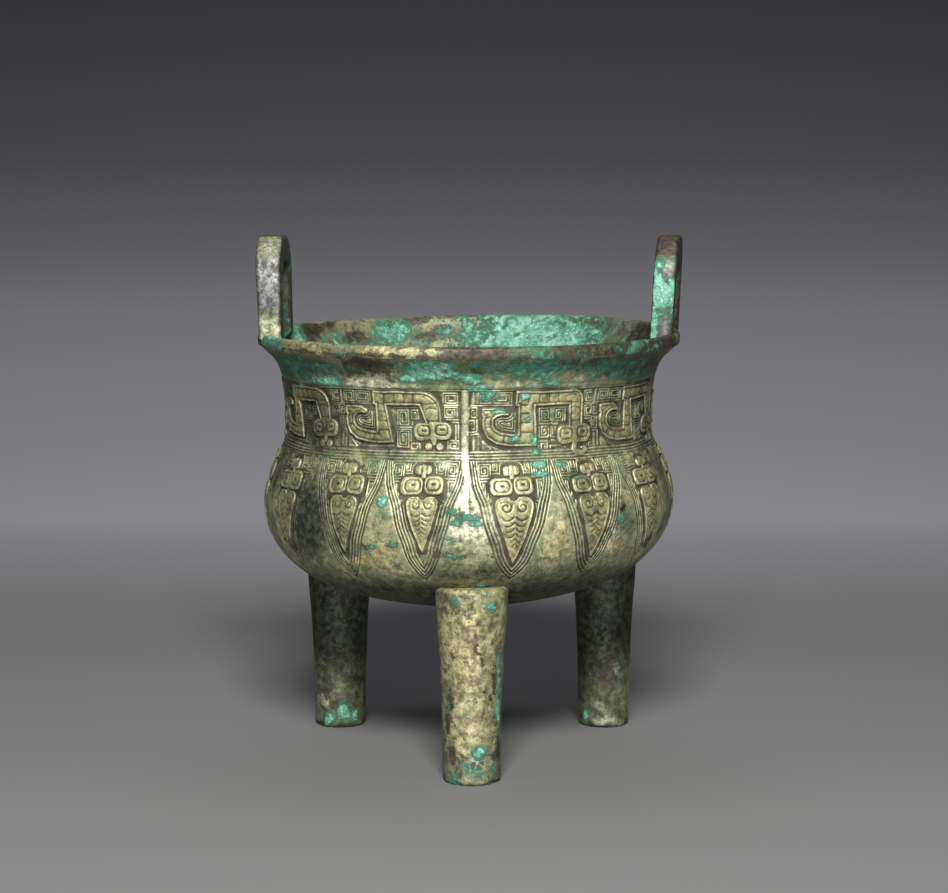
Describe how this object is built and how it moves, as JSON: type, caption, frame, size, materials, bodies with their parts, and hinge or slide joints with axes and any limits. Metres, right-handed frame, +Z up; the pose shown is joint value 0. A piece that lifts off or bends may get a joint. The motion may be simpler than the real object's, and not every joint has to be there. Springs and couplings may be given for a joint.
{
  "type": "bronze ding vessel",
  "caption": "Round bronze tripod vessel with a flared rim, upright loop ears on the rim, column legs, a frieze of hooked dragons and a belly ring of hanging cicada leaves.",
  "frame": {"origin": "on the ground under the middle of the vessel, level with the undersides of the three feet", "axes": "+Z up, -Y toward the front leg, +-X toward the two ears"},
  "size_m": [0.1753, 0.1722, 0.211],
  "materials": {
    "patinated_bronze": "matte green and brown patina with malachite crusts"
  },
  "bodies": {
    "root": {"ding_vessel": "patinated_bronze"}
  },
  "joints": []
}
